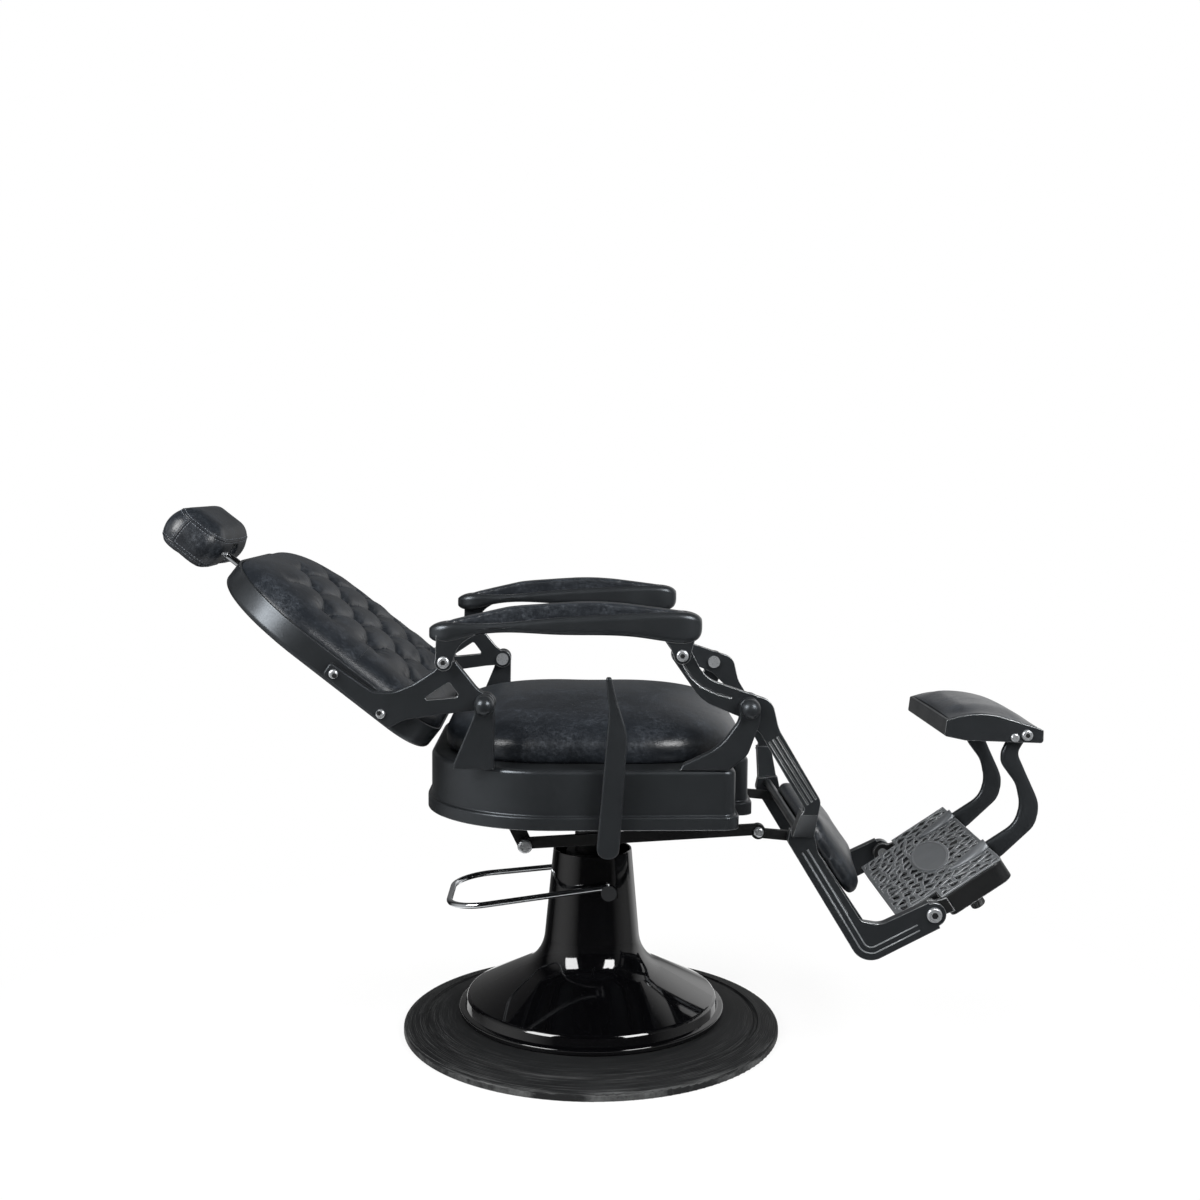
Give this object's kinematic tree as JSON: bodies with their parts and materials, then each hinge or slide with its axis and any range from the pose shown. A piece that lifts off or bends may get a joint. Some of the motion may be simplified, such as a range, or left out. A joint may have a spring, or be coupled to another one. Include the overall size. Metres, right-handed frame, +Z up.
{
  "type": "barber chair",
  "caption": "Reclining barber chair on a round pedestal: hydraulic lift, swivel seat, tufted back linked to arms and leg rest, sliding headrest, folding foot platform.",
  "frame": {"origin": "centre of the round base on the floor", "axes": "+Z up, +X to the front of the chair (leg rest), +Y to the sitter's left"},
  "size_m": [1.4276, 0.6465, 0.8866],
  "materials": {
    "dark_casting": "satin dark grey enamel on cast iron",
    "grey_casting": "satin mid grey enamel",
    "black_gloss": "gloss black enamel",
    "black_rubber": "matte moulded rubber",
    "bare_steel": "machined steel",
    "black_steel": "matte black paint",
    "bright_chrome": "polished plate",
    "aged_leather": "distressed blue-black hide",
    "plywood": "bare board"
  },
  "bodies": {
    "base": {"base_plate": "bare_steel", "base_ring": "black_rubber", "pedestal_bell": "black_gloss", "pump_cylinder": "bare_steel", "cylinder_gland": "bare_steel", "pump_blocks": "bare_steel"},
    "pump_lever": {"pump_lever": "bright_chrome"},
    "ram": {"pump_ram": "bare_steel", "swivel_bearing": "bare_steel"},
    "seat": {"swivel_housing": "bare_steel", "seat_frame": "bare_steel", "seat_skirt": "dark_casting", "seat_cushion": "aged_leather", "rear_post_right": "dark_casting", "rear_post_left": "dark_casting", "front_post_right": "dark_casting", "front_post_left": "dark_casting", "pivot_pins": "bright_chrome", "pivot_caps": "bright_chrome", "lever_block": "bare_steel", "lever_hanger": "bare_steel"},
    "recline_lever": {"recline_lever": "dark_casting"},
    "back": {"back_shell": "dark_casting", "head_guide": "bare_steel", "back_board": "plywood", "back_cushion": "aged_leather", "back_bracket_right": "dark_casting", "back_bracket_left": "dark_casting", "bracket_screws": "bright_chrome", "rear_arm_screws": "bright_chrome"},
    "head_post": {"head_post": "bright_chrome"},
    "head": {"head_bracket": "bare_steel", "head_pad": "aged_leather"},
    "arm_right": {"armrest_frame_right": "dark_casting", "armrest_pad_right": "aged_leather"},
    "arm_left": {"armrest_frame_left": "dark_casting", "armrest_pad_left": "aged_leather"},
    "legrest": {"leg_rail_right": "dark_casting", "leg_rail_left": "dark_casting", "leg_bar": "black_steel", "calf_panel": "dark_casting", "calf_pad": "aged_leather", "link_lugs": "dark_casting", "front_arm_screws": "bright_chrome", "link_front_bolts": "bright_chrome", "foot_hinge_pins": "bright_chrome"},
    "link": {"link_bars": "black_steel"},
    "crank": {"crank_shaft": "bare_steel", "link_rear_bolts": "bright_chrome"},
    "footboard": {"foot_platform": "grey_casting", "foot_bumpers": "black_rubber", "foot_arm_right": "grey_casting", "foot_arm_left": "grey_casting", "pad_pivot_pins": "bright_chrome"},
    "foot_pad": {"pad_tray": "grey_casting", "pad_cushion": "aged_leather", "pad_stop_pins": "bright_chrome"}
  },
  "joints": [
    {"name": "lift", "type": "slide", "parent": "base", "child": "ram", "axis": [0, 0, 1], "range_m": [0, 0.16]},
    {"name": "swivel", "type": "hinge", "parent": "ram", "child": "seat", "pos_m": [0, 0, 0.376], "axis": [0, 0, 1], "continuous": true},
    {"name": "pump", "type": "hinge", "parent": "base", "child": "pump_lever", "pos_m": [0.026, 0, 0.255], "axis": [0, -1, 0], "range_deg": [0, 20], "stiffness_Nm_per_rad": 15, "springref_deg": -8.59},
    {"name": "recline", "type": "hinge", "parent": "seat", "child": "back", "pos_m": [-0.167, 0, 0.601], "axis": [0, 1, 0], "range_deg": [0, 30]},
    {"name": "leg_swing", "type": "hinge", "parent": "seat", "child": "legrest", "pos_m": [0.229, 0, 0.598], "axis": [0, 1, 0], "range_deg": [0, 24]},
    {"name": "arm_right_pivot", "type": "hinge", "parent": "back", "child": "arm_right", "pos_m": [-0.228, 0, 0.664], "axis": [0, 1, 0], "range_deg": [-32.5, 0]},
    {"name": "arm_left_pivot", "type": "hinge", "parent": "back", "child": "arm_left", "pos_m": [-0.228, 0, 0.664], "axis": [0, 1, 0], "range_deg": [-32.5, 0]},
    {"name": "link_pivot", "type": "hinge", "parent": "legrest", "child": "link", "pos_m": [0.262, 0, 0.378], "axis": [0, 1, 0], "range_deg": [-26.5, 0]},
    {"name": "crank_turn", "type": "hinge", "parent": "seat", "child": "crank", "pos_m": [-0.172, 0, 0.482], "axis": [0, 1, 0], "range_deg": [0, 37]},
    {"name": "recline_release", "type": "hinge", "parent": "seat", "child": "recline_lever", "pos_m": [0.017, 0, 0.391], "axis": [0, -1, 0], "range_deg": [0, 12], "stiffness_Nm_per_rad": 20, "springref_deg": -5.73},
    {"name": "head_height", "type": "slide", "parent": "back", "child": "head_post", "axis": [-0.788, 0, 0.6157], "range_m": [0, 0.09]},
    {"name": "head_tilt", "type": "hinge", "parent": "head_post", "child": "head", "pos_m": [-0.62804, 0, 0.81654], "axis": [0, 1, 0], "range_deg": [-20, 20]},
    {"name": "foot_fold", "type": "hinge", "parent": "legrest", "child": "footboard", "pos_m": [0.536, 0, 0.257], "axis": [0, -1, 0], "range_deg": [0, 28]},
    {"name": "pad_flip", "type": "hinge", "parent": "footboard", "child": "foot_pad", "pos_m": [0.699, 0, 0.53], "axis": [0, 1, 0], "range_deg": [0, 75]}
  ],
  "couplings": [
    {"joint": "leg_swing", "follows": "recline", "ratio": 0.775},
    {"joint": "arm_right_pivot", "follows": "recline", "ratio": -1.064},
    {"joint": "arm_left_pivot", "follows": "recline", "ratio": -1.064},
    {"joint": "link_pivot", "follows": "recline", "ratio": -0.8634},
    {"joint": "crank_turn", "follows": "recline", "ratio": 1.2115}
  ]
}
